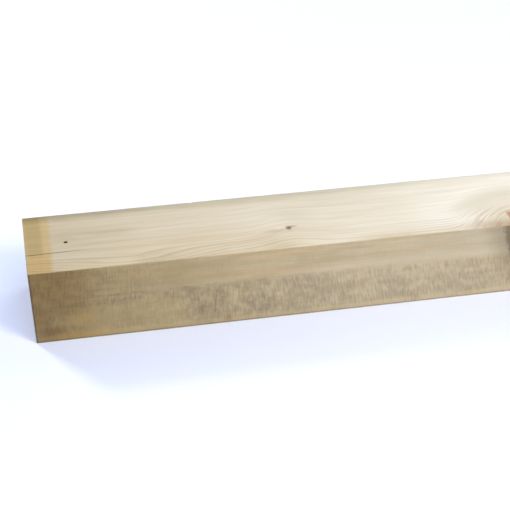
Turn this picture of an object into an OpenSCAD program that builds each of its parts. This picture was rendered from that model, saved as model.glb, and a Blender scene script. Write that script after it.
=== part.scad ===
// Rough-sawn softwood timber, pressure treated, lying flat on its broad face.
// Millimetres. Length along X, width along Y, thickness along Z.
// The origin is the middle of the bottom face.

/* [Section] */
// Length of the piece between its two cross-cut ends
plank_length = 1800; // [600:100:4800]
// Width of the two broad faces, top and bottom
plank_width = 100; // [75:1:150]
// Thickness between the broad faces, which is the height of the narrow faces
plank_thickness = 75; // [47:1:100]
// Radius that handling has put on the four sawn arrises
arris_radius = 0.8; // [0.3:0.1:3]

/* [Log] */
// How far the pith, the middle of the growth rings, lay in front of the front face
pith_before_front = 60; // [30:1:90]
// How far the pith lay below the bottom face
pith_below_bottom = 60; // [30:1:90]

/* [Drying check] */
// Distance from the front face to the mouth of the check in the top face
check_from_front = 31; // [20:1:55]
// Length of the check along the grain, from the left end
check_length = 60; // [20:1:120]
// Width of its mouth where it opens at the left end
check_gap = 0.9; // [0.4:0.1:2]
// Depth of the check at the left end, measured towards the pith
check_depth = 17; // [6:1:24]
// How far the grain drifts towards the back over the length of the check
check_drift = 1.6; // [0:0.1:4]

/* [Nail hole] */
// Diameter of the hole that a drawn nail has left in the top face
nail_hole_diameter = 3.4; // [2:0.1:6]
// Depth of the hole below the top face
nail_hole_depth = 28; // [10:1:40]
// Distance from the left end to the middle of the hole
nail_hole_from_end = 37.6; // [15:0.1:150]
// Distance from the front face to the middle of the hole
nail_hole_from_front = 48.2; // [40:0.1:65]

/* [Hidden] */
// Sides of a full circle on the arrises and the hole
$fn = 48;
// How far a cutting shape runs past the face that it cuts
cut_overrun = 1;
timber_colour = [0.75, 0.66, 0.49];

left_end_x = -plank_length / 2;
front_face_y = -plank_width / 2;
top_face_z = plank_thickness;

// A point moved away from another, to so many times their distance
function stretched(point, from, times) = from + times * (point - from);

// Sawn section, with its width along x and its thickness along y
module sawn_section() {
    inner_w = plank_width - 2 * arris_radius;
    inner_t = plank_thickness - 2 * arris_radius;
    translate([front_face_y + arris_radius, 0])
        square([inner_w, plank_thickness]);
    translate([front_face_y, arris_radius])
        square([plank_width, inner_t]);
    for (across = [0, 1], up = [0, 1])
        translate([
            front_face_y + arris_radius + across * inner_w,
            arris_radius + up * inner_t
        ])
            circle(r = arris_radius);
}

// The section run out to length and cross-cut square at both ends
module sawn_length() {
    translate([left_end_x, 0, 0])
        rotate([90, 0, 90])
            linear_extrude(height = plank_length)
                sawn_section();
}

// Space of the check: a split along the grain and towards the pith, a triangle at
// the left end that narrows and runs out to a point in the top face
module drying_check() {
    mouth = [left_end_x, front_face_y + check_from_front, top_face_z];
    pith = [left_end_x, front_face_y - pith_before_front, -pith_below_bottom];
    half_gap = [0, check_gap / 2, 0];
    tip = mouth + [check_length, check_drift, 0];
    root = stretched(pith, mouth, check_depth / norm(pith - mouth));

    // The same wedge, run past the end face and then past the top face
    past_end = 1 + cut_overrun / check_length;
    past_top = 1 + cut_overrun / (top_face_z - root[2]);
    root_out = stretched(root, tip, past_end);
    rim_out = [for (side = [-1, 1]) stretched(mouth + side * half_gap, tip, past_end)];
    rim = [for (point = concat(rim_out, [tip])) stretched(point, root_out, past_top)];
    polyhedron(
        points = concat([root_out], rim),
        faces = [[0, 1, 2], [0, 2, 3], [0, 3, 1], [1, 3, 2]]
    );
}

// Space that the nail took up, straight down from the top face
module nail_hole() {
    translate([
        left_end_x + nail_hole_from_end,
        front_face_y + nail_hole_from_front,
        top_face_z - nail_hole_depth
    ])
        cylinder(h = nail_hole_depth + cut_overrun, d = nail_hole_diameter);
}

module plank() {
    color(timber_colour)
        difference() {
            sawn_length();
            drying_check();
            nail_hole();
        }
}

plank();
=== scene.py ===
# %% [markdown]
# A length of rough-sawn timber. This lesson dresses one piece of softwood, sawn square from
# the side of a log, treated with preservative and cross-cut at both ends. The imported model
# fixes its size and its place. Everything below gives it the look of wood that has been through
# a bandsaw: growth rings that run right through the piece, knots, saw marks and stains.

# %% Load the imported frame
import math
from collections import namedtuple

import bmesh
import bpy
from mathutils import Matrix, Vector


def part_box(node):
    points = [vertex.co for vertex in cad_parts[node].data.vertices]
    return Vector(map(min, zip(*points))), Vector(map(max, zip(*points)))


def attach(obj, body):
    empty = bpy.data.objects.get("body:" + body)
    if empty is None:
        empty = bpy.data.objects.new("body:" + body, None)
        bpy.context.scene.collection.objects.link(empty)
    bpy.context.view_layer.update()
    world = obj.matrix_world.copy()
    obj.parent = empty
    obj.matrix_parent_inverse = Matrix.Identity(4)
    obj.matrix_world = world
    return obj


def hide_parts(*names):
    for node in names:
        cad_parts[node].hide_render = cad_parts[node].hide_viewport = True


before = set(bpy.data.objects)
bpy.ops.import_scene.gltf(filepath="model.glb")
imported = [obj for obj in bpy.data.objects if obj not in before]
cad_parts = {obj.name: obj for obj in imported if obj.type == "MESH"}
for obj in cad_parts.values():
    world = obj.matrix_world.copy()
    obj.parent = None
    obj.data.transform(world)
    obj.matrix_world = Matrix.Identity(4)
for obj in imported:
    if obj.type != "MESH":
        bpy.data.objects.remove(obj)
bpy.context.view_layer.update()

plank_low, plank_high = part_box("plank")
MM = 0.001
plank_length, plank_width, plank_thickness = (plank_high - plank_low) / MM
print("plank of", round(plank_length), "x", round(plank_width), "x", round(plank_thickness), "mm")

# %% [markdown]
# The camera comes first, because it decides which marks on the timber matter. A lens could be
# guessed and then nudged by eye. Here the three long edges and the left end of the timber were
# measured in the photograph, and a camera was solved from them, so its place is given from the
# front bottom corner of the left end, with a turn to the right and a tilt down.

# %% Camera
front_left_foot = Vector((plank_low.x, plank_low.y, plank_low.z))
CAMERA_FROM_FOOT = Vector((-2.4, -1046.8, 728.2)) * MM
CAMERA_TURN = math.radians(11.156)
CAMERA_TILT = math.radians(31.647)
LENS = 97.92
SENSOR = 36.0
bpy.ops.object.camera_add(
    location=front_left_foot + CAMERA_FROM_FOOT,
    rotation=(math.pi / 2 - CAMERA_TILT, 0.0, -CAMERA_TURN),
)
camera = bpy.context.object
camera.data.lens = LENS
camera.data.sensor_width = SENSOR
bpy.context.scene.camera = camera
print("camera at", [round(part, 3) for part in camera.location])

# %% [markdown]
# The timber lies on white paper that shows no edge and no horizon. A studio bends such a sheet up
# behind the object. This camera looks down and never sees that far, so one large flat plane does,
# a little blue and almost without shine.

# %% Floor
FLOOR_SIZE = 60.0
PAPER_WHITE = (0.835, 0.845, 0.865, 1.0)
bpy.ops.mesh.primitive_plane_add(size=FLOOR_SIZE, location=(0.0, 0.0, plank_low.z))
floor = bpy.context.object
floor.name = "paper_sweep"
paper = bpy.data.materials.new("white_paper")
paper.use_nodes = True
paper_shader = paper.node_tree.nodes["Principled BSDF"]
paper_shader.inputs["Base Color"].default_value = PAPER_WHITE
paper_shader.inputs["Roughness"].default_value = 0.9
paper_shader.inputs["Specular IOR Level"].default_value = 0.1
floor.data.materials.append(paper)
print("floor", FLOOR_SIZE, "m wide")

# %% [markdown]
# The light is four soft lamps and a pale blue fill. Lamps can be moved about until a picture looks
# right, but the shadows in the photograph tell where they stood. One edge of the shadow at the left
# end points back at a lamp in front on the right, its other edge at a broad one behind on the
# right, and the shadow along the front at one behind on the left. A shadow that reaches a little
# further than the timber is high means a lamp at about 40 degrees, and a soft edge means a broad
# lamp. The shadow along the front stays light right up to the foot, so part of the fill is a very
# broad lamp high up in front.

# %% Lamps and fill
FILL_BLUE = (0.50, 0.625, 0.90, 1.0)
FILL_STRENGTH = 0.45
# Place and target are in metres from the left end's foot, the size in metres, the power in watts
Lamp = namedtuple("Lamp", "name place target size watts colour")
LEFT_FOOT = (0.0, 0.0, 0.0)
MIDDLE_FOOT = (0.2, 0.0, 0.0)
LAMPS = [
    Lamp("front_lamp", (0.79, -0.86, 0.94), LEFT_FOOT, 0.40, 11.7, (1.0, 0.87, 0.73)),
    Lamp("back_lamp", (-0.80, 1.19, 1.08), LEFT_FOOT, 0.35, 16.3, (0.88, 0.86, 1.0)),
    Lamp("side_lamp", (1.22, 0.92, 1.03), LEFT_FOOT, 1.5, 9.4, (1.0, 0.95, 0.90)),
    Lamp("fill_lamp", (0.2, -6.0, 10.4), MIDDLE_FOOT, 9.6, 970.0, (0.556, 0.694, 1.0)),
]


def add_lamp(lamp):
    """A square soft lamp that looks from its place to its target."""
    bpy.ops.object.light_add(type="AREA", location=front_left_foot + Vector(lamp.place))
    light = bpy.context.object
    light.name = lamp.name
    away = Vector(lamp.place) - Vector(lamp.target)
    light.rotation_euler = away.to_track_quat("Z", "Y").to_euler()
    light.data.shape = "SQUARE"
    light.data.size = lamp.size
    light.data.energy = lamp.watts
    light.data.color = lamp.colour
    light.visible_camera = False


for lamp in LAMPS:
    add_lamp(lamp)
studio = bpy.data.worlds.new("studio")
studio.use_nodes = True
fill = studio.node_tree.nodes["Background"]
fill.inputs["Color"].default_value = FILL_BLUE
fill.inputs["Strength"].default_value = FILL_STRENGTH
bpy.context.scene.world = studio
bpy.context.scene.view_settings.view_transform = "Standard"
print(len(LAMPS), "lamps and a fill")

# %% [markdown]
# The blank is the timber as it leaves the saw, before any marks. It could be one long box, but
# saw marks a few millimetres apart need vertices closer than that. So a cube is set to the size
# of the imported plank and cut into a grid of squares, which the later steps refine and move.

# %% The blank
bpy.ops.object.select_all(action="DESELECT")
bpy.ops.mesh.primitive_cube_add(size=1.0, location=(plank_low + plank_high) / 2)
timber = bpy.context.object
timber.name = "sawn_timber"
timber.scale = plank_high - plank_low
bpy.ops.object.transform_apply(location=True, rotation=True, scale=True)


def select_edges(piece, wanted):
    """In edit mode, selects only the edges that wanted(edge) says yes to."""
    mesh = bmesh.from_edit_mesh(piece.data)
    for part in (*mesh.faces, *mesh.edges, *mesh.verts):
        part.select = False
    for edge in mesh.edges:
        if wanted(edge):
            edge.select_set(True)
    bmesh.update_edit_mesh(piece.data)


def runs_along(axis):
    """A test for edges that run along one axis."""
    def test(edge):
        step = edge.verts[1].co - edge.verts[0].co
        return abs(step[axis]) > 0.99 * step.length
    return test


def cut(piece, wanted, lengths):
    """Cuts the chosen edges, and the faces between them, into so many equal lengths."""
    select_edges(piece, wanted)
    bpy.ops.mesh.subdivide(number_cuts=lengths - 1)


along_length, across_width, up_thickness = (runs_along(axis) for axis in range(3))
bpy.ops.object.mode_set(mode="EDIT")
bpy.ops.mesh.select_mode(type="EDGE")
cut(timber, along_length, 18)
cut(timber, along_length, 40)
cut(timber, across_width, 20)
cut(timber, up_thickness, 8)
print("blank cut into", len(bmesh.from_edit_mesh(timber.data).faces), "squares")

# %% [markdown]
# Handling wears the four long arrises round, while the cross-cut saw leaves the ends crisp. Both
# are bevels, and they come now, while the grid is all squares, because a bevel on a regular grid
# stays regular. After that the two narrow faces are cut finer along their length, for the saw
# marks, and the two ends are cut finer both ways.

# %% Worn arrises and crisp ends
ARRIS_RADIUS = 0.8 * MM
END_EASING = 0.3 * MM
TOUCH = 0.01 * MM


def lies_at(edge, axis, place):
    """Whether both ends of an edge are at a place along an axis."""
    return all(abs(vertex.co[axis] - place) < TOUCH for vertex in edge.verts)


def on_broad_face(edge):
    """Whether an edge lies in the top or the bottom face."""
    return lies_at(edge, 2, plank_low.z) or lies_at(edge, 2, plank_high.z)


def on_narrow_face(edge):
    """Whether an edge lies in the front or the back face."""
    return lies_at(edge, 1, plank_low.y) or lies_at(edge, 1, plank_high.y)


def on_end_face(edge):
    """Whether an edge lies in one of the two cross-cut ends."""
    return lies_at(edge, 0, plank_low.x) or lies_at(edge, 0, plank_high.x)


def on_end_outline(edge):
    """Whether an edge runs round the outside of a cross-cut end."""
    return on_end_face(edge) and any(abs(face.normal.x) < 0.5 for face in edge.link_faces)


select_edges(timber, lambda edge: on_broad_face(edge) and on_narrow_face(edge))
bpy.ops.mesh.bevel(offset=ARRIS_RADIUS, segments=2)
select_edges(timber, on_end_outline)
bpy.ops.mesh.bevel(offset=END_EASING, segments=1)
cut(timber, lambda edge: along_length(edge) and on_narrow_face(edge), 3)
cut(timber, lambda edge: across_width(edge) and on_end_face(edge), 4)
cut(timber, lambda edge: up_thickness(edge) and on_end_face(edge), 8)
bpy.ops.object.mode_set(mode="OBJECT")
print("timber cut into", len(timber.data.polygons), "faces")

# %% [markdown]
# The same wood has to show in two places: as relief in the mesh and as colour in the material.
# Both are node trees, so one small class lets plain Python sums add the nodes to either tree.
# A Field wraps one socket. Sums on fields add Math nodes, and any other node has one method.

# %% Sums that write node trees
class Field:
    """A socket of a node tree that plain Python sums can use."""

    def __init__(self, tree, socket):
        self.tree = tree
        self.socket = socket

    def node(self, kind, settings=(), sockets=(), output=0):
        """Adds a node: its settings are set first, then the values or links of its sockets."""
        made = self.tree.nodes.new(kind)
        for name, setting in dict(settings).items():
            setattr(made, name, setting)
        for name, value in dict(sockets).items():
            if isinstance(value, Field):
                self.tree.links.new(value.socket, made.inputs[name])
            else:
                made.inputs[name].default_value = value
        return Field(self.tree, made.outputs[output])

    def math(self, operation, *others):
        """A Math node whose first value is this one."""
        return self.node("ShaderNodeMath", {"operation": operation}, enumerate((self, *others)))

    def vector(self, operation, other, output=0):
        """A Vector Math node whose first vector is this one."""
        return self.node("ShaderNodeVectorMath", {"operation": operation}, {0: self, 1: other}, output)

    def parts(self):
        """The three parts of a vector."""
        split = self.node("ShaderNodeSeparateXYZ", (), {0: self})
        return [Field(self.tree, socket) for socket in split.socket.node.outputs]

    def rises(self, low, high):
        """Goes smoothly from 0 at low to 1 at high. With low above high it falls instead."""
        ease = {"interpolation_type": "SMOOTHSTEP"}
        return self.node("ShaderNodeMapRange", ease, {0: self, 1: low, 2: high})

    def between(self, low, high, soft):
        """1 from low to high, with soft edges outside them."""
        return self.rises(low - soft, low) * self.rises(high + soft, high)

    def near(self, middle, reach):
        """1 at the middle, and smoothly down to 0 at a reach on either side of it."""
        return (self - middle).math("ABSOLUTE").rises(reach, 0.0)

    def __add__(self, other):
        return self.math("ADD", other)

    def __sub__(self, other):
        return self.math("SUBTRACT", other)

    def __rsub__(self, other):
        return self.math("MULTIPLY_ADD", -1.0, other)

    def __mul__(self, other):
        return self.math("MULTIPLY", other)

    def __truediv__(self, other):
        return self.math("DIVIDE", other)

    def __pow__(self, other):
        return self.math("POWER", other)

    __radd__ = __add__
    __rmul__ = __mul__


def noise(point, sizes, seed, detail=1.0):
    """Smooth chance from 0 to 1, in patches of given sizes in millimetres."""
    per_mm = [1.0 / size for size in sizes]
    spread = {"operation": "MULTIPLY_ADD"}
    placed = point.node("ShaderNodeVectorMath", spread, {0: point, 1: per_mm, 2: [seed] * 3})
    values = {"Vector": placed, "Scale": 1.0, "Detail": detail, "Roughness": 0.55}
    return point.node("ShaderNodeTexNoise", (), values)


def from_corner(place):
    """Object coordinates in metres, as millimetres from the bottom corner at the front left."""
    to_mm = {"operation": "MULTIPLY_ADD"}
    corner = [-part / MM for part in front_left_foot]
    return place.node("ShaderNodeVectorMath", to_mm, {0: place, 1: [1 / MM] * 3, 2: corner})


print("fields ready")

# %% [markdown]
# Growth rings are not a picture on a face: they are shells round the pith, the middle of the log,
# and each face shows where it cuts them. So the wood is a solid pattern. Its main field is the
# distance from the pith, which lay in front of this piece and below it. A branch pushes the
# shells outwards round itself, and that is what bends the grain round a knot. Here every knot is
# a straight branch from the pith, and a smooth minimum joins its shells to those of the log.

# %% Growth rings and knots
PITH_Y = -60.0
PITH_Z = -60.0
RING_WIDTH = 2.0
PIN_SIZE = 6.0
# Where each branch leaves the timber, its radius there, and how it bends the rings: how far it
# leads them outwards, how steeply they fall away from it, and how softly they join the log's.
# A branch that sprouted late starts some way out from the pith.
Knot = namedtuple("Knot", "x y z radius lead slope ease start")
KNOTS = [
    Knot(242.8, 34.4, 75, 2.9, 7, 0.22, 6, 125),
    Knot(465, 1, 75, 25, 49, 0.88, 27, 1),
    Knot(700, 100, 48, 8, 20, 0.7, 22, 1),
    Knot(1010, 64, 75, 10, 24, 0.6, 22, 1),
    Knot(1040, 30, 75, 5, 10, 0.45, 20, 130),
    Knot(1420, 100, 20, 9, 22, 0.6, 22, 1),
    Knot(1560, 20, 75, 12, 28, 0.6, 24, 1),
]
Wood = namedtuple("Wood", "late knot heart halo pin streak fibre")


def branch(point, knot):
    """Distance along a branch, distance off its middle line, and its whole length."""
    rise = Vector((0.0, knot.y - PITH_Y, knot.z - PITH_Z))
    root = Vector((knot.x, knot.y, knot.z)) - rise
    from_root = point.vector("SUBTRACT", root)
    along = from_root.vector("DOT_PRODUCT", rise.normalized(), "Value")
    square = from_root.vector("DOT_PRODUCT", from_root, "Value")
    off = (square - along * along).math("MAXIMUM", 0.0).math("SQRT")
    return along, off, rise.length


def log_radius(point):
    """Distance from the pith, with the slow waves of a stem that did not grow quite straight."""
    x, y, z = point.parts()
    out_y = y - PITH_Y
    out_z = z - PITH_Z
    radius = (out_y * out_y + out_z * out_z).math("SQRT")
    wave = 6.3 * x.near(97, 100) * y.rises(29, 2)
    return radius + wave + 5.0 * (noise(point, (300, 90, 90), 3.0) - 0.5)


def growth(point):
    """The wood at a point: its late wood, knots and fibres."""
    x, y, z = point.parts()
    radius = log_radius(point)
    knotty = 0.0 * x
    heart = 0.0 * x
    halo = 0.0 * x
    pin = 0.0 * x
    ragged = noise(point, (3.5, 3.5, 3.5), 9.0) - 0.5
    for knot in KNOTS:
        along, off, length = branch(point, knot)
        radius = radius.math("SMOOTH_MIN", along - knot.lead + knot.slope * off, knot.ease)
        share = off / (along.math("MAXIMUM", 1.0) * (knot.radius / length)) + 0.25 * ragged
        grown = along.rises(knot.start - 1.0, knot.start + 9.0)
        if knot.radius < PIN_SIZE:
            pin = pin.math("MAXIMUM", (share + ragged).rises(1.3, 0.3) * grown)
        else:
            knotty = knotty.math("MAXIMUM", share.rises(1.06, 0.9) * grown)
            heart = heart.math("MAXIMUM", share.rises(1.0, 0.1))
            halo = halo.math("MAXIMUM", share.rises(2.2, 0.9) * grown)
    ring = radius / RING_WIDTH + 1.0 * (noise(point, (220, 12, 12), 7.0) - 0.5)
    number = ring.math("FLOOR")
    chance = number.node("ShaderNodeTexWhiteNoise", {"noise_dimensions": "1D"}, {"W": number})
    turn = ring.math("FRACT")
    late = turn.rises(0.2, 0.85) * turn.rises(1.0, 0.88) * (0.15 + 0.85 * chance ** 2)
    strand = x.node("ShaderNodeCombineXYZ", (), {0: x, 1: radius, 2: y - z})
    streak = noise(strand, (90, 3.0, 30), 37.0, 2.0)
    fibre = noise(strand, (70, 0.45, 9), 13.0, 2.0)
    return Wood(late, knotty, heart, halo, pin, streak, fibre)


print(len(KNOTS), "knots placed")

# %% [markdown]
# A bandsaw leaves strokes across the narrow faces, one for each uneven tooth, and they carry the
# dirt. They could be drawn as straight stripes, but a feed that speeds up and slows down spaces
# them unevenly, and they lean where the blade lagged. So the strokes are noise that is short along
# the length and tall up the face, on a coordinate that leans more further from the left end.

# %% Saw strokes
STROKE_PITCH = 2.7
STROKE_LEAN = 0.2


def leaned(point):
    """A point whose length coordinate follows the lean of the saw strokes."""
    x, y, z = point.parts()
    level = x + STROKE_LEAN * x.rises(70, 360) * z
    return x.node("ShaderNodeCombineXYZ", (), {0: level, 1: y, 2: z})


def saw_strokes(point):
    """Strokes of the saw on a narrow face: 0 in the grooves and 1 between them."""
    place = leaned(point)
    level = place.parts()[0]
    feed = noise(point, (45, 50, 30), 17.0)
    ripple = (level * (2 * math.pi / STROKE_PITCH) + 12.0 * feed).math("SINE")
    teeth = noise(place, (1.8, 50, 11), 5.0, 2.0).rises(0.32, 0.62)
    return 0.88 * teeth + 0.06 * ripple + 0.06


print("saw strokes", STROKE_PITCH, "mm apart")

# %% [markdown]
# Each face was made by another tool, so relief and colour both have to know which face a point is
# on. The mesh could be split into six parts, but then every arris would show a seam. Here the
# depth below each face decides, with a soft step, so two faces blend over the worn arris between
# them. The left end was sawn a little out of square, and its step follows that slant.

# %% Which face a point is on
FACE_DEPTH = 1.3
FACE_FULL = 0.6
END_SLANT = 2.3
END_SKEW = 0.6
Faces = namedtuple("Faces", "top bottom front back left right")


def end_slant(point):
    """How far the left end lies in from square: nothing at the front top, more below and behind."""
    x, y, z = point.parts()
    return END_SLANT * (1 - z / plank_thickness) + END_SKEW * (y / plank_width)


def face_shares(point, slant):
    """How much a point belongs to each of the six faces, from its depth below them."""
    x, y, z = point.parts()
    depths = (plank_thickness - z, z, y, plank_width - y)
    sides = [depth.rises(FACE_DEPTH, FACE_FULL) for depth in depths]
    ends = [depth.rises(FACE_FULL, FACE_FULL / 2) for depth in (x - slant, plank_length - x)]
    return Faces(*sides, *ends)


print("faces:", ", ".join(Faces._fields))

# %% [markdown]
# Now the relief. Sculpting it by hand would not repeat, so a Geometry Nodes modifier moves each
# vertex inwards by the same fields that will later colour the wood, and is then applied. Inwards
# only, so the timber never grows past its sawn size. Narrow faces get the saw strokes, broad
# faces a faint swell, knots a shallow dish, arrises a few dents, and the ends the saw's arcs.

# %% Relief
ARC_PITCH = 6.5
SLANT_REACH = 14.0


def end_arcs(point):
    """Arcs that a large round saw leaves on a cross-cut end, from 0 to 1."""
    x, y, z = point.parts()
    from_hub = ((y - 180) * (y - 180) + (z + 260) * (z + 260)).math("SQRT")
    turns = from_hub * (2 * math.pi / ARC_PITCH) + 5.0 * noise(point, (40, 30, 30), 23.0)
    return turns.math("SINE") * 0.5 + 0.5


def relief(point):
    """How far each vertex moves inwards, as a vector in metres."""
    x, y, z = point.parts()
    faces = face_shares(point, 0.0)
    wood = growth(point)
    strokes = saw_strokes(point)
    smooth = z.rises(42, 52) * x.rises(70, 160) * faces.front
    swell = noise(point, (45, 20, 20), 29.0)
    dents = noise(point, (9, 9, 9), 31.0).rises(0.62, 0.8)
    arris = (faces.top + faces.bottom) * (faces.front + faces.back)
    narrow = 0.22 * (1 - strokes) * (1 - 0.75 * smooth) + 0.1 * swell + 0.45 * dents * arris
    broad = 0.22 * swell + 0.12 * wood.knot + 0.06 * wood.late + 0.45 * dents * arris
    ends = 0.08 * end_arcs(point) + 0.15 * swell
    slant = end_slant(point) * x.rises(SLANT_REACH, 0)
    inwards = {
        0: MM * (slant + ends * (faces.left - faces.right)),
        1: MM * narrow * (faces.front - faces.back),
        2: MM * broad * (faces.bottom - faces.top),
    }
    return x.node("ShaderNodeCombineXYZ", (), inwards)


def add_relief(piece):
    """Moves a piece's vertices by the relief field, and applies it."""
    tree = bpy.data.node_groups.new("saw_relief", "GeometryNodeTree")
    for way in ("INPUT", "OUTPUT"):
        tree.interface.new_socket("Geometry", in_out=way, socket_type="NodeSocketGeometry")
    before = Field(tree, tree.nodes.new("NodeGroupInput").outputs[0])
    place = before.node("GeometryNodeInputPosition")
    offset = relief(from_corner(place))
    after = before.node("GeometryNodeSetPosition", (), {"Geometry": before, "Offset": offset})
    tree.links.new(after.socket, tree.nodes.new("NodeGroupOutput").inputs[0])
    piece.modifiers.new("relief", "NODES").node_group = tree
    bpy.ops.object.modifier_apply(modifier="relief")


add_relief(timber)
print("relief applied to", len(timber.data.vertices), "vertices")

# %% [markdown]
# Two things are cut into the timber: a hole that a drawn nail has left, and a drying check, the
# split that opens where an end dries faster than the rest and always points at the pith. Each is
# a cutter that a Boolean takes away. The nail's cutter is a cylinder drawn out to a point.

# %% Nail hole
HOLE_FROM_END = 37.6 * MM
HOLE_FROM_FRONT = 48.2 * MM
HOLE_RADIUS = 1.7 * MM
HOLE_DEPTH = 28.0 * MM
NAIL_POINT = 5.0 * MM
OVERRUN = 1.0 * MM


def take_away(piece, cutter):
    """Cuts one closed shape out of a piece, and deletes the cutter."""
    bpy.ops.object.select_all(action="DESELECT")
    bpy.context.view_layer.objects.active = piece
    piece.select_set(True)
    boolean = piece.modifiers.new("cut", "BOOLEAN")
    boolean.operation = "DIFFERENCE"
    boolean.solver = "EXACT"
    boolean.object = cutter
    bpy.ops.object.modifier_apply(modifier="cut")
    bpy.data.objects.remove(cutter)


shank = HOLE_DEPTH - NAIL_POINT + OVERRUN
hole_middle = Vector((plank_low.x + HOLE_FROM_END, plank_low.y + HOLE_FROM_FRONT, plank_high.z))
bpy.ops.object.select_all(action="DESELECT")
bpy.ops.mesh.primitive_cylinder_add(
    vertices=28, radius=HOLE_RADIUS, depth=shank,
    location=hole_middle + Vector((0.0, 0.0, OVERRUN - shank / 2)),
)
nail = bpy.context.object
bpy.ops.object.transform_apply(location=True, rotation=True, scale=True)
bpy.ops.object.mode_set(mode="EDIT")
bpy.ops.mesh.select_mode(type="FACE")
nail_mesh = bmesh.from_edit_mesh(nail.data)
for face in nail_mesh.faces:
    face.select_set(face.normal.z < -0.9)
bmesh.update_edit_mesh(nail.data)
bpy.ops.mesh.extrude_region_move(TRANSFORM_OT_translate={"value": (0.0, 0.0, -NAIL_POINT)})
bpy.ops.transform.resize(value=(0.15, 0.15, 1.0), center_override=hole_middle)
bpy.ops.object.mode_set(mode="OBJECT")
take_away(timber, nail)
print("nail hole", round(2 * HOLE_RADIUS / MM, 1), "mm wide")

# %% [markdown]
# A cone with three sides has the four corners of such a wedge, so each corner is moved to its
# place. Then the wedge is cut across into short lengths, and each length is shifted a little
# sideways, because a split wanders with the fibres.

# %% Drying check
CHECK_FROM_FRONT = 31.0 * MM
CHECK_LENGTH = 60.0 * MM
CHECK_GAP = 0.9 * MM
CHECK_DEPTH = 17.0 * MM
CHECK_DRIFT = 1.6 * MM
CHECK_WANDER = 0.25 * MM
CHECK_PIECES = 16

mouth = Vector((plank_low.x, plank_low.y + CHECK_FROM_FRONT, plank_high.z))
pith = front_left_foot + Vector((0.0, PITH_Y, PITH_Z)) * MM
tip = mouth + Vector((CHECK_LENGTH, CHECK_DRIFT, 0.0))
root = mouth + (pith - mouth).normalized() * CHECK_DEPTH
root_out = tip + (root - tip) * (1 + OVERRUN / CHECK_LENGTH)
past_top = 1 + OVERRUN / (mouth.z - root.z)
rim = [mouth - Vector((0.0, CHECK_GAP / 2, 0.0)), mouth + Vector((0.0, CHECK_GAP / 2, 0.0)), tip]
rim_out = [tip + (point - tip) * (1 + OVERRUN / CHECK_LENGTH) for point in rim]
corners = [root_out] + [root_out + (point - root_out) * past_top for point in rim_out]

bpy.ops.object.select_all(action="DESELECT")
bpy.ops.mesh.primitive_cone_add(vertices=3, radius1=1.0, radius2=0.0, depth=1.0, location=(0, 0, 0))
wedge = bpy.context.object
bpy.ops.object.mode_set(mode="EDIT")
bpy.ops.mesh.select_mode(type="VERT")


def shift_vertices(piece, wanted, step):
    """In edit mode, moves the vertices that wanted(vertex) says yes to."""
    mesh = bmesh.from_edit_mesh(piece.data)
    for part in (*mesh.faces, *mesh.edges, *mesh.verts):
        part.select = False
    for vertex in mesh.verts:
        if wanted(vertex):
            vertex.select_set(True)
    bmesh.update_edit_mesh(piece.data)
    bpy.ops.transform.translate(value=step)


wedge_mesh = bmesh.from_edit_mesh(wedge.data)
starts = [vertex.co.copy() for vertex in wedge_mesh.verts]
for number, (start, corner) in enumerate(zip(starts, corners)):
    shift_vertices(wedge, lambda vertex: vertex.index == number, corner - start)
bpy.ops.mesh.select_all(action="SELECT")
bpy.ops.mesh.normals_make_consistent(inside=False)
for slice_number in range(1, CHECK_PIECES):
    bpy.ops.mesh.select_all(action="SELECT")
    station = Vector((plank_low.x + CHECK_LENGTH * slice_number / CHECK_PIECES, 0.0, 0.0))
    bpy.ops.mesh.bisect(plane_co=station, plane_no=(1.0, 0.0, 0.0))
for slice_number in range(1, CHECK_PIECES):
    station = plank_low.x + CHECK_LENGTH * slice_number / CHECK_PIECES
    sideways = CHECK_WANDER * (math.sin(2.3 * slice_number) + 0.6 * math.sin(5.1 * slice_number))
    shift_vertices(wedge, lambda vertex: abs(vertex.co.x - station) < TOUCH, (0.0, sideways, 0.0))
bpy.ops.object.mode_set(mode="OBJECT")
take_away(timber, wedge)
print("check", round(CHECK_LENGTH / MM), "mm long")

# %% [markdown]
# The mesh is finished by smoothing the shading over the gentle relief, while edges sharper than
# 40 degrees, such as the rim of the hole, stay crisp. A count and a look for open edges come with
# it, because a Boolean can leave gaps where two surfaces touch.

# %% Smooth shading and a look at the mesh
SHARP = math.radians(40)
bpy.ops.object.select_all(action="DESELECT")
bpy.context.view_layer.objects.active = timber
timber.select_set(True)
bpy.ops.object.shade_smooth_by_angle(angle=SHARP)
looked = bmesh.new()
looked.from_mesh(timber.data)
open_edges = sum(1 for edge in looked.edges if not edge.is_manifold)
triangles = sum(len(face.verts) - 2 for face in looked.faces)
volume = looked.calc_volume(signed=True)
looked.free()
print(triangles, "triangles,", open_edges, "open edges,", round(volume * 1e6), "cubic centimetres")

# %% [markdown]
# The finish is one material, because it is one piece of wood, but each face shows the wood in its
# own way. The broad faces were planed pale. The narrow faces are as sawn, brown from the
# preservative and dirty in the strokes. The ends are dark end grain. So each face has a function
# that paints layers over each other, as with glazes: first the wood, then what happened to it.
# Places are in millimetres: x from the left end, y from the front face and z from the foot.

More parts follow.
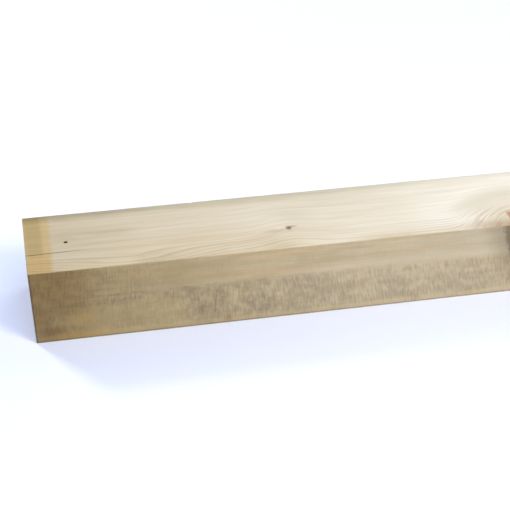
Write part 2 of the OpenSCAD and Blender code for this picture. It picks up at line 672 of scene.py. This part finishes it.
# %% Broad faces
CREAM = (0.683, 0.591, 0.402, 1.0)
PALE_CREAM = (0.767, 0.705, 0.525, 1.0)
WHITE_WOOD = (0.84, 0.79, 0.665, 1.0)
LATE_TAN = (0.42, 0.312, 0.175, 1.0)
KNOT_BROWN = (0.16, 0.10, 0.055, 1.0)
KNOT_ORANGE = (0.44, 0.25, 0.125, 1.0)
PIN_BROWN = (0.17, 0.095, 0.045, 1.0)
HONEY_GLAZE = (0.97, 0.95, 0.895, 1.0)
GREY_GLAZE = (0.86, 0.84, 0.81, 1.0)
SWEPT_GLAZE = (0.78, 0.73, 0.66, 1.0)
HALO_GLAZE = (0.86, 0.81, 0.74, 1.0)
# Darker towards the left end: partly wood that drank more preservative, partly painted shade where the
# light fell off
LEFT_SOAK_AND_PAINTED_SHADE = (0.74, 0.67, 0.56, 1.0)
END_SOAK_AND_PAINTED_SHADE = (0.92, 0.915, 0.88, 1.0)


def laid(under, over, share, how="MIX"):
    """A colour with another laid over it by a share from 0 to 1."""
    settings = {"data_type": "RGBA", "blend_type": how}
    return share.node("ShaderNodeMix", settings, {0: share, 6: under, 7: over}, 2)


def glazed(under, tint, share):
    """A colour seen through a thin tint, which darkens it and lets the grain show."""
    return laid(under, tint, share, "MULTIPLY")


def broad_colour(point, wood, top):
    """Pale planed wood, with its rings, its fibres and its knots."""
    x, y, z = point.parts()
    colour = laid(CREAM, PALE_CREAM, 0.15 + 0.7 * wood.streak.rises(0.3, 0.7))
    colour = glazed(colour, HONEY_GLAZE, y.rises(55, 25) * x.between(110, 230, 70))
    colour = glazed(colour, GREY_GLAZE, 0.3 * x.near(285, 75) * y.near(76, 30))
    white = 0.4 * x.between(385, 480, 40) * y.rises(110, 30)
    white = white + 0.2 * x.between(445, 480, 45) * y.between(70, 92, 12)
    colour = laid(colour, WHITE_WOOD, white)
    swept = wood.streak.rises(0.46, 0.6) * x.rises(395, 430) * y.rises(45, 22)
    colour = glazed(colour, SWEPT_GLAZE, swept)
    colour = glazed(colour, HALO_GLAZE, wood.halo)
    faded = 1 - 0.65 * x.between(262, 350, 45) - 0.6 * x.rises(380, 430)
    clear = 0.3 + 0.7 * y.rises(50, 28) * faded + 0.4 * y.near(73, 12) * x.between(150, 370, 60)
    colour = laid(colour, LATE_TAN, 0.48 * wood.late * clear)
    colour = laid(colour, LATE_TAN, 0.35 * wood.fibre.rises(0.52, 0.85))
    colour = laid(colour, WHITE_WOOD, 0.3 * wood.fibre.rises(0.48, 0.15))
    knot_colour = laid(KNOT_ORANGE, KNOT_BROWN, wood.heart)
    healed = x.rises(451.5, 449) + y.rises(10, 5) + y.rises(22, 26)
    healed = healed * x.between(434, 457, 6) * y.rises(38, 32)
    colour = laid(colour, knot_colour, wood.knot * (1 - healed))
    colour = laid(colour, PIN_BROWN, 0.9 * wood.pin)
    colour = top_marks(colour, point, top)
    # Painted shade for the light falling off towards the left end, together with the darker soaked
    # wood there
    colour = glazed(colour, LEFT_SOAK_AND_PAINTED_SHADE, x.rises(520, -60))
    return glazed(colour, END_SOAK_AND_PAINTED_SHADE, x.rises(120, 40))


print("broad faces: cream wood with rings, fibres and knots")

# %% [markdown]
# The top face shows what has happened to the timber since. Its left end was dipped in preservative,
# which left a gold band. The back arris went green and grey in the stack, hands have darkened the
# front arris, and a nail has left a dark ring. The line along the split is painted shade, for its
# dark narrow gap. All this could be painted on an image, but an image goes soft when seen close.
# So each mark is a place, a reach and a tint.

# %% Marks on the top face
KHAKI_GLAZE = (0.775, 0.685, 0.41, 1.0)
GOLD_GLAZE = (0.94, 0.785, 0.47, 1.0)
FRINGE_GLAZE = (0.97, 0.88, 0.62, 1.0)
MOSS_GLAZE = (0.67, 0.74, 0.56, 1.0)
RUST_GLAZE = (0.69, 0.66, 0.62, 1.0)
TAN_GLAZE = (0.86, 0.82, 0.73, 1.0)
OLIVE_GLAZE = (0.86, 0.84, 0.77, 1.0)
BLUSH = (0.82, 0.68, 0.51, 1.0)
PALE_GOLD = (0.86, 0.76, 0.46, 1.0)
IRON = (0.04, 0.03, 0.02, 1.0)
CHECK_PAINTED_SHADE = (0.09, 0.06, 0.035, 1.0)
BAND_END = 23.6
# Soft spots: middle and reach along the length, then middle and reach across the face
Spot = namedtuple("Spot", "along reach_along across reach_across")
SHADE_SPOT = Spot(228, 16, 31, 5)
BEHIND_SPOT = Spot(253, 30, 54, 22)
BLUSH_SPOT = Spot(234.5, 9, 36.5, 4)
TAIL_SPOT = Spot(247, 5.5, 36.5, 2.5)


def on_spot(spot, along, across):
    """1 in the middle of a soft spot, and 0 outside it."""
    return along.near(spot.along, spot.reach_along) * across.near(spot.across, spot.reach_across)


def top_marks(colour, point, top):
    """What happened to the top face: a treated end, a stained back arris, a split and a nail."""
    x, y, z = point.parts()
    drawn = noise(point, (30, 4, 9), 41.0).rises(0.2, 0.7)
    streak = y.near(58, 14) * x.between(35, 88, 25) * (0.35 + 0.65 * drawn)
    shade = 0.8 * on_spot(SHADE_SPOT, x, y) + 0.5 * on_spot(BEHIND_SPOT, x, y)
    colour = glazed(colour, GREY_GLAZE, (0.9 * streak + shade) * top)
    handled = 0.5 * x.between(105, 175, 15) + 0.8 * x.near(232, 25) + x.rises(280, 330)
    colour = glazed(colour, TAN_GLAZE, handled * y.rises(18, 0) * top)
    colour = glazed(colour, SWEPT_GLAZE, x.rises(400, 434) * y.rises(20, 3) * top)
    knot_x = x - KNOTS[1].x
    from_knot = (knot_x * knot_x + y * y).math("SQRT")
    colour = glazed(colour, OLIVE_GLAZE, from_knot.near(60, 22) * y.rises(22, 42) * top)
    colour = laid(colour, BLUSH, 0.7 * on_spot(BLUSH_SPOT, x, y) * top)
    colour = laid(colour, PALE_GOLD, 0.3 * x.between(42, 88, 18) * y.rises(16, 4) * top)
    colour = laid(colour, PIN_BROWN, 0.45 * on_spot(TAIL_SPOT, x, y) * top)
    edge = y - 4.0 * x.rises(300, 420) + 6.0 * (noise(point, (26, 9, 9), 43.0, 2.0) - 0.5)
    hue = laid(MOSS_GLAZE, RUST_GLAZE, noise(point, (18, 9, 9), 45.0).rises(0.35, 0.6))
    worn = 0.7 + 0.3 * x.rises(150, 70) - 0.3 * x.between(420, 480, 60)
    colour = glazed(colour, hue, edge.rises(82, 97) * worn * top)
    strips = noise(point, (3.2, 60, 30), 51.0)
    gold = x.rises(12, 20) + 0.6 * x.rises(6, 1) + 0.8 * y.rises(34, 20) + 1.1 * (strips - 0.5)
    band = laid(KHAKI_GLAZE, GOLD_GLAZE, gold.rises(0.0, 1.0))
    band = laid(band, FRINGE_GLAZE, 0.8 * x.rises(15, 20) * y.rises(20, 40))
    band_end = x + 1.6 * y.rises(40, 15) + 4.0 * (noise(point, (20, 7, 20), 55.0, 2.0) - 0.5)
    colour = glazed(colour, band, band_end.rises(BAND_END + 3.4, BAND_END - 2.4) * top)
    # Painted shade along the split: a dark line down its narrow gap
    from_check = (y - CHECK_FROM_FRONT / MM - x * (CHECK_DRIFT / CHECK_LENGTH)).math("ABSOLUTE")
    split = from_check.rises(0.8, 0.25) * x.rises(76, 30)
    colour = laid(colour, CHECK_PAINTED_SHADE, 0.7 * split * top)
    hole_x = x - HOLE_FROM_END / MM
    hole_y = y - HOLE_FROM_FRONT / MM
    from_hole = (hole_x * hole_x + hole_y * hole_y).math("SQRT")
    return laid(colour, IRON, from_hole.rises(2.1, 1.6) * top)


print("top face: treated band", BAND_END, "mm wide")

# %% [markdown]
# The narrow faces are as the saw left them. Its teeth tore the fibres, and torn fibres hold dirt, so
# a groove is darker than the ridge beside it. Dirt could be one noise all over the face, but it has
# to lie in the grooves of the relief, so it takes the same strokes. Above the middle the face is
# smoother, with streaks along the grain. Towards the left end it is darker, partly because it has
# drunk more preservative and partly as painted shade, where the studio light fell off.

# %% Narrow sawn faces
SAWN_TAN = (0.512, 0.42, 0.25, 1.0)
SAWN_BROWN = (0.427, 0.34, 0.193, 1.0)
DIRT = (0.235, 0.178, 0.10, 1.0)
ORANGE_TAN = (0.56, 0.37, 0.18, 1.0)
GREY_TAN = (0.41, 0.362, 0.25, 1.0)
BUFF = (0.57, 0.45, 0.25, 1.0)
SAWN_PALE = (0.60, 0.503, 0.322, 1.0)
SAWN_GREY = (0.46, 0.44, 0.34, 1.0)
KNOT_UMBER = (0.16, 0.122, 0.064, 1.0)
KNOT_GLAZE = (0.68, 0.66, 0.63, 1.0)
# Bluish painted shadow for the foot, where the timber meets the paper
FOOT_PAINTED_SHADOW = (0.27, 0.28, 0.36, 1.0)
# Darker towards the left end: partly wood that drank more preservative, partly painted shade where the
# light fell off
WIDE_SOAK_AND_PAINTED_SHADE = (0.77, 0.71, 0.545, 1.0)
CLOSE_SOAK_AND_PAINTED_SHADE = (0.61, 0.51, 0.335, 1.0)


def evened(share, x):
    """A share whose patches fade away along the length, towards an even half."""
    return share + 0.55 * x.rises(190, 290) * (0.5 - share)


def narrow_colour(point, wood, strokes, front):
    """Brown sawn wood: its streaks along the grain, and dirt in the strokes across it."""
    x, y, z = point.parts()
    cloud = noise(point, (60, 40, 11), 47.0, 3.0).rises(0.3, 0.7)
    colour = laid(SAWN_TAN, SAWN_BROWN, cloud)
    upper = z.rises(40, 47)
    sawn = 1 - 0.9 * upper * x.rises(60, 140)
    bands = noise(point, (140, 40, 1.5), 53.0, 2.0)
    colour = laid(colour, ORANGE_TAN, 0.85 * bands.rises(0.52, 0.7) * (0.2 + 0.8 * upper))
    colour = laid(colour, GREY_TAN, 0.6 * bands.rises(0.48, 0.28) * (0.3 + 0.7 * upper))
    colour = laid(colour, SAWN_GREY, 0.25 * upper * x.rises(330, 430))
    threads = noise(point, (45, 40, 0.8), 65.0, 2.0)
    colour = laid(colour, DIRT, 0.2 * threads.rises(0.5, 0.75) * upper)
    colour = laid(colour, SAWN_PALE, 0.25 * threads.rises(0.5, 0.25) * upper)
    grime = evened(noise(point, (10, 40, 8), 49.0, 2.0).rises(0.35, 0.65), x)
    colour = laid(colour, DIRT, (0.14 + 0.3 * grime) * (1 - strokes) * sawn)
    colour = laid(colour, DIRT, 0.18 * grime * sawn)
    colour = laid(colour, SAWN_PALE, 0.45 * (1 - grime) * strokes * sawn * x.rises(70, 180))
    colour = laid(colour, BUFF, 0.6 * z.between(3, 5, 3))
    colour = laid(colour, SAWN_PALE, 0.4 * z.near(48, 8) * x.rises(60, 320))
    colour = front_marks(colour, point, front)
    colour = glazed(colour, KNOT_GLAZE, wood.halo)
    colour = laid(colour, KNOT_UMBER, 0.88 * wood.knot)
    # Painted contact shadow along the foot
    colour = glazed(colour, FOOT_PAINTED_SHADOW, z.rises(2.2, 0.8))
    # Painted shade for the light falling off towards the left end, together with the darker soaked
    # wood there
    colour = glazed(colour, WIDE_SOAK_AND_PAINTED_SHADE, x.rises(360, 40))
    close = 0.62 + 0.38 * z.rises(18, 55) + 0.3 * x.rises(26, 10) * z.near(24, 20)
    return glazed(colour, CLOSE_SOAK_AND_PAINTED_SHADE, x.rises(82, 25) * close)


print("narrow faces: sawn wood with dirt in the strokes")

# %% [markdown]
# The front face has marks of its own: blue stain, a fungus that creeps along torn fibres, a broken
# dark line along the middle, an oily smear at the end and a bruise at the foot. Noise alone would
# put the stain anywhere. So the patches are listed as ovals, and noise only frays their outlines.

# %% Marks on the front face
BLUE_STAIN = (0.20, 0.165, 0.12, 1.0)
BRUISE = (0.26, 0.12, 0.06, 1.0)
SMEAR_GLAZE = (0.76, 0.66, 0.54, 1.0)
DULL_GLAZE = (0.90, 0.88, 0.82, 1.0)
AMBER = (0.62, 0.455, 0.20, 1.0)
ARRIS_GLAZE = (0.45, 0.45, 0.45, 1.0)
DULL_SPOT = Spot(127, 20, 58, 10)
AMBER_SPOT = Spot(46, 22, 23, 15)
BRUISE_SPOT = Spot(179, 7, 6, 6)
# Patches of blue stain: middle along and up, and half their length and height
Patch = namedtuple("Patch", "x z half_length half_height")
STAIN_PATCHES = [
    Patch(86, 40, 26, 8),
    Patch(138, 38, 20, 8),
    Patch(161, 24, 22, 22),
    Patch(208, 18, 17, 18),
    Patch(246, 14, 17, 15),
    Patch(255, 36, 30, 10),
    Patch(270, 22, 15, 15),
    Patch(291, 17, 10, 13),
    Patch(336, 20, 22, 13),
    Patch(357, 9, 15, 9),
    Patch(404, 20, 38, 18),
]


def front_marks(colour, point, front):
    """What happened to the front face: stain that crept along the strokes, a smear, a bruise."""
    x, y, z = point.parts()
    stain = 0.0 * x
    for patch in STAIN_PATCHES:
        along = (x - patch.x) / patch.half_length
        up = (z - patch.z) / patch.half_height
        stain = stain.math("MAXIMUM", (along * along + up * up).rises(1.3, 0.1))
    blot = evened(noise(point, (11, 40, 8), 57.0, 2.0).rises(0.38, 0.62), x)
    creep = noise(leaned(point), (1.9, 40, 8), 59.0, 2.0).rises(0.38, 0.66)
    blotted = stain * (0.3 + 0.7 * blot) * (0.25 + 0.75 * creep)
    colour = laid(colour, BLUE_STAIN, (0.62 - 0.17 * x.rises(220, 400)) * blotted * front)
    broken = noise(point, (9, 40, 5), 61.0, 2.0).rises(0.45, 0.62)
    dashes = z.near(44, 2.6) * broken * x.between(64, 330, 10) * (1 - 0.6 * x.rises(150, 185))
    colour = laid(colour, BLUE_STAIN, 0.45 * dashes * front)
    smear = x.between(13, 22, 13) * z.near(10, 9)
    colour = glazed(colour, SMEAR_GLAZE, smear * front)
    dull = 0.4 * x.between(72, 140, 20) * z.between(60, 65, 6) + on_spot(DULL_SPOT, x, z)
    dull = dull + 0.8 * x.between(205, 390, 20) * z.rises(69, 74)
    colour = glazed(colour, DULL_GLAZE, dull * front)
    amber = on_spot(AMBER_SPOT, x, z) + 1.2 * x.between(28, 66, 14) * z.rises(12, 5)
    colour = laid(colour, AMBER, 0.5 * amber * front)
    rubbed = x.between(64, 128, 18) * z.rises(42, 22) * (0.7 + 0.5 * x.rises(95, 115))
    colour = laid(colour, BUFF, 0.3 * rubbed * front)
    lines = noise(point, (50, 40, 1.3), 63.0).rises(0.5, 0.68) * x.between(24, 60, 12)
    colour = laid(colour, DIRT, 0.35 * lines * z.between(36, 44, 4) * front)
    colour = laid(colour, BRUISE, 0.55 * on_spot(BRUISE_SPOT, x, z) * front)
    return glazed(colour, ARRIS_GLAZE, (x - end_slant(point)).rises(2.4, 0.8) * front)


print("front face:", len(STAIN_PATCHES), "patches of stain")

# %% [markdown]
# On the ends the saw cuts across the rings, so each shows as an arc, and the open ends of the fibres
# drink the most preservative and go dark. A picture of end grain would not meet the rings on the
# other faces. The solid wood does that by itself, and only the rubbed saw arcs are added.

# %% Cross-cut ends
END_BROWN = (0.30, 0.215, 0.115, 1.0)
END_TAN = (0.42, 0.31, 0.17, 1.0)
END_LATE = (0.15, 0.095, 0.045, 1.0)


def end_colour(point, wood):
    """End grain: dark, with every ring showing, and lighter where the saw rubbed it."""
    cloud = noise(point, (40, 28, 28), 67.0).rises(0.3, 0.7)
    colour = laid(END_BROWN, END_TAN, cloud)
    colour = laid(colour, END_LATE, 0.75 * wood.late)
    colour = laid(colour, END_TAN, 0.3 * end_arcs(point))
    speck = noise(point, (9, 1.1, 1.1), 71.0, 2.0)
    colour = laid(colour, END_LATE, 0.5 * speck.rises(0.5, 0.8))
    return laid(colour, KNOT_BROWN, 0.6 * wood.knot)


print("ends: dark end grain with saw arcs", ARC_PITCH, "mm apart")

# %% [markdown]
# The last cell of the finish puts the faces together. What is deeper than any face is the inside
# of the hole and the check, painted dark as the shade in these hollows, with iron in the hole.
# Roughness follows the strokes and the rings, and a Bump node adds the fibres and the fine
# scratches that are too small for the mesh.

# %% Treated softwood
# Painted shade inside the hole and the check, with the nail's iron in the hole
INSIDE_SHADE_AND_IRON = (0.09, 0.06, 0.035, 1.0)
BUMP_HEIGHT = 0.25 * MM


def treated_softwood():
    """The material of the whole piece."""
    material = bpy.data.materials.new("treated_softwood")
    material.use_nodes = True
    tree = material.node_tree
    shader = tree.nodes["Principled BSDF"]
    place = Field(tree, tree.nodes.new("ShaderNodeTexCoord").outputs["Object"])
    point = from_corner(place)
    faces = face_shares(point, end_slant(point))
    wood = growth(point)
    strokes = saw_strokes(point)
    narrow = faces.front + faces.back
    broad = faces.top + faces.bottom
    ends = faces.left + faces.right
    # What lies deeper than every face, inside the hole and the check, gets the painted shade
    colour = laid(INSIDE_SHADE_AND_IRON, narrow_colour(point, wood, strokes, faces.front), narrow)
    colour = laid(colour, broad_colour(point, wood, faces.top), broad)
    colour = laid(colour, end_colour(point, wood), ends)
    rough = 0.70 + 0.16 * narrow * (1 - strokes) + 0.12 * ends + 0.1 * (wood.fibre - 0.5)
    height = 0.5 * wood.fibre + 0.35 * wood.late * (broad + 2 * ends) + 0.5 * strokes * narrow
    values = {"Strength": 0.6, "Distance": BUMP_HEIGHT, "Height": height}
    bumped = height.node("ShaderNodeBump", (), values)
    tree.links.new(colour.socket, shader.inputs["Base Color"])
    tree.links.new(rough.socket, shader.inputs["Roughness"])
    tree.links.new(bumped.socket, shader.inputs["Normal"])
    return material


timber.data.materials.clear()
timber.data.materials.append(treated_softwood())
print("finish has", len(timber.data.materials[0].node_tree.nodes), "nodes")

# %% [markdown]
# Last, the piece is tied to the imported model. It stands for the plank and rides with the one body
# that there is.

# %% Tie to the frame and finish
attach(timber, "root")
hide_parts("plank")
